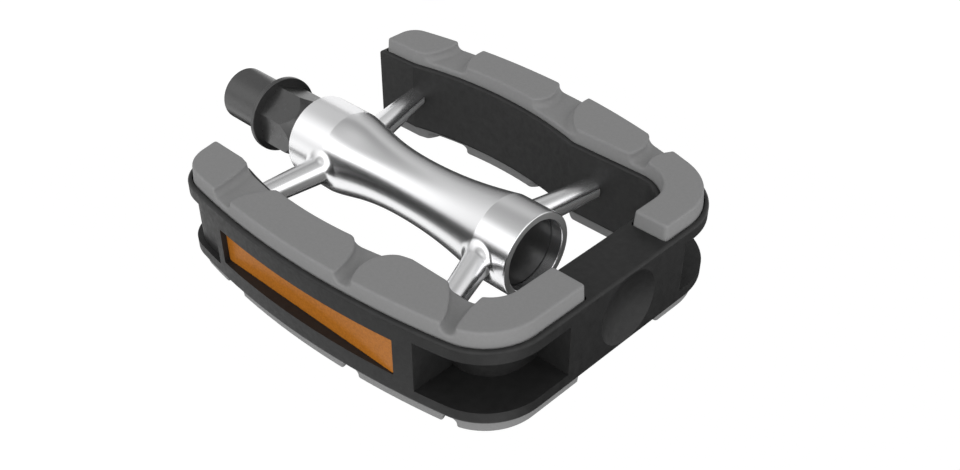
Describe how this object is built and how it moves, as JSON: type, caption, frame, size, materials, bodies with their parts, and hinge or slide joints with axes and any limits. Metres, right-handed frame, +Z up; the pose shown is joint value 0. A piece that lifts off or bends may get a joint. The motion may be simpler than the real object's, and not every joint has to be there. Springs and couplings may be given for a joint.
{
  "type": "flat pedal",
  "caption": "Flat platform pedal: moulded cage with rubber tread on both faces, side reflectors, and a metal centre body that spins on a ball-bearing spindle with a crank stub.",
  "frame": {"origin": "on the spindle axis, in the face of the spindle flange that seats on the crank", "axes": "+X along the spindle away from the crank, +Y towards the front rail, +Z up; the tread is mirrored in Z = 0"},
  "size_m": [0.1319, 0.0939, 0.0262],
  "materials": {
    "spindle_steel": "dark satin",
    "bearing_steel": "ground",
    "ball_steel": "polished",
    "retainer_brass": "stamped",
    "body_aluminium": "polished",
    "seal_rubber": "matt",
    "cap_plastic": "satin",
    "cage_plastic": "fine matt grain",
    "tread_rubber": "matt",
    "reflector_amber": "prismatic",
    "reflector_backing": "matt"
  },
  "bodies": {
    "spindle": {"spindle": "spindle_steel", "outer_cone": "bearing_steel", "lock_washer": "bearing_steel", "locknut": "bearing_steel"},
    "platform": {"centre_body": "body_aluminium", "inner_cup": "bearing_steel", "outer_cup": "bearing_steel", "inner_seal": "seal_rubber", "dust_cap": "cap_plastic", "cage": "cage_plastic", "pad_front_top": "tread_rubber", "pad_front_bottom": "tread_rubber", "pad_rear_top": "tread_rubber", "pad_rear_bottom": "tread_rubber", "reflector_front_lens": "reflector_amber", "reflector_front_back": "reflector_backing", "reflector_rear_lens": "reflector_amber", "reflector_rear_back": "reflector_backing"},
    "inner_ball_set": {"inner_balls": "ball_steel", "inner_retainer": "retainer_brass"},
    "outer_ball_set": {"outer_balls": "ball_steel", "outer_retainer": "retainer_brass"}
  },
  "joints": [
    {"name": "platform_spin", "type": "hinge", "parent": "spindle", "child": "platform", "pos_m": [0, 0, 0], "axis": [1, 0, 0], "continuous": true},
    {"name": "inner_balls_roll", "type": "hinge", "parent": "spindle", "child": "inner_ball_set", "pos_m": [0.0235, 0, 0], "axis": [1, 0, 0], "continuous": true},
    {"name": "outer_balls_roll", "type": "hinge", "parent": "spindle", "child": "outer_ball_set", "pos_m": [0.0743, 0, 0], "axis": [1, 0, 0], "continuous": true}
  ],
  "couplings": [
    {"joint": "inner_balls_roll", "follows": "platform_spin", "ratio": 0.598},
    {"joint": "outer_balls_roll", "follows": "platform_spin", "ratio": 0.598}
  ]
}
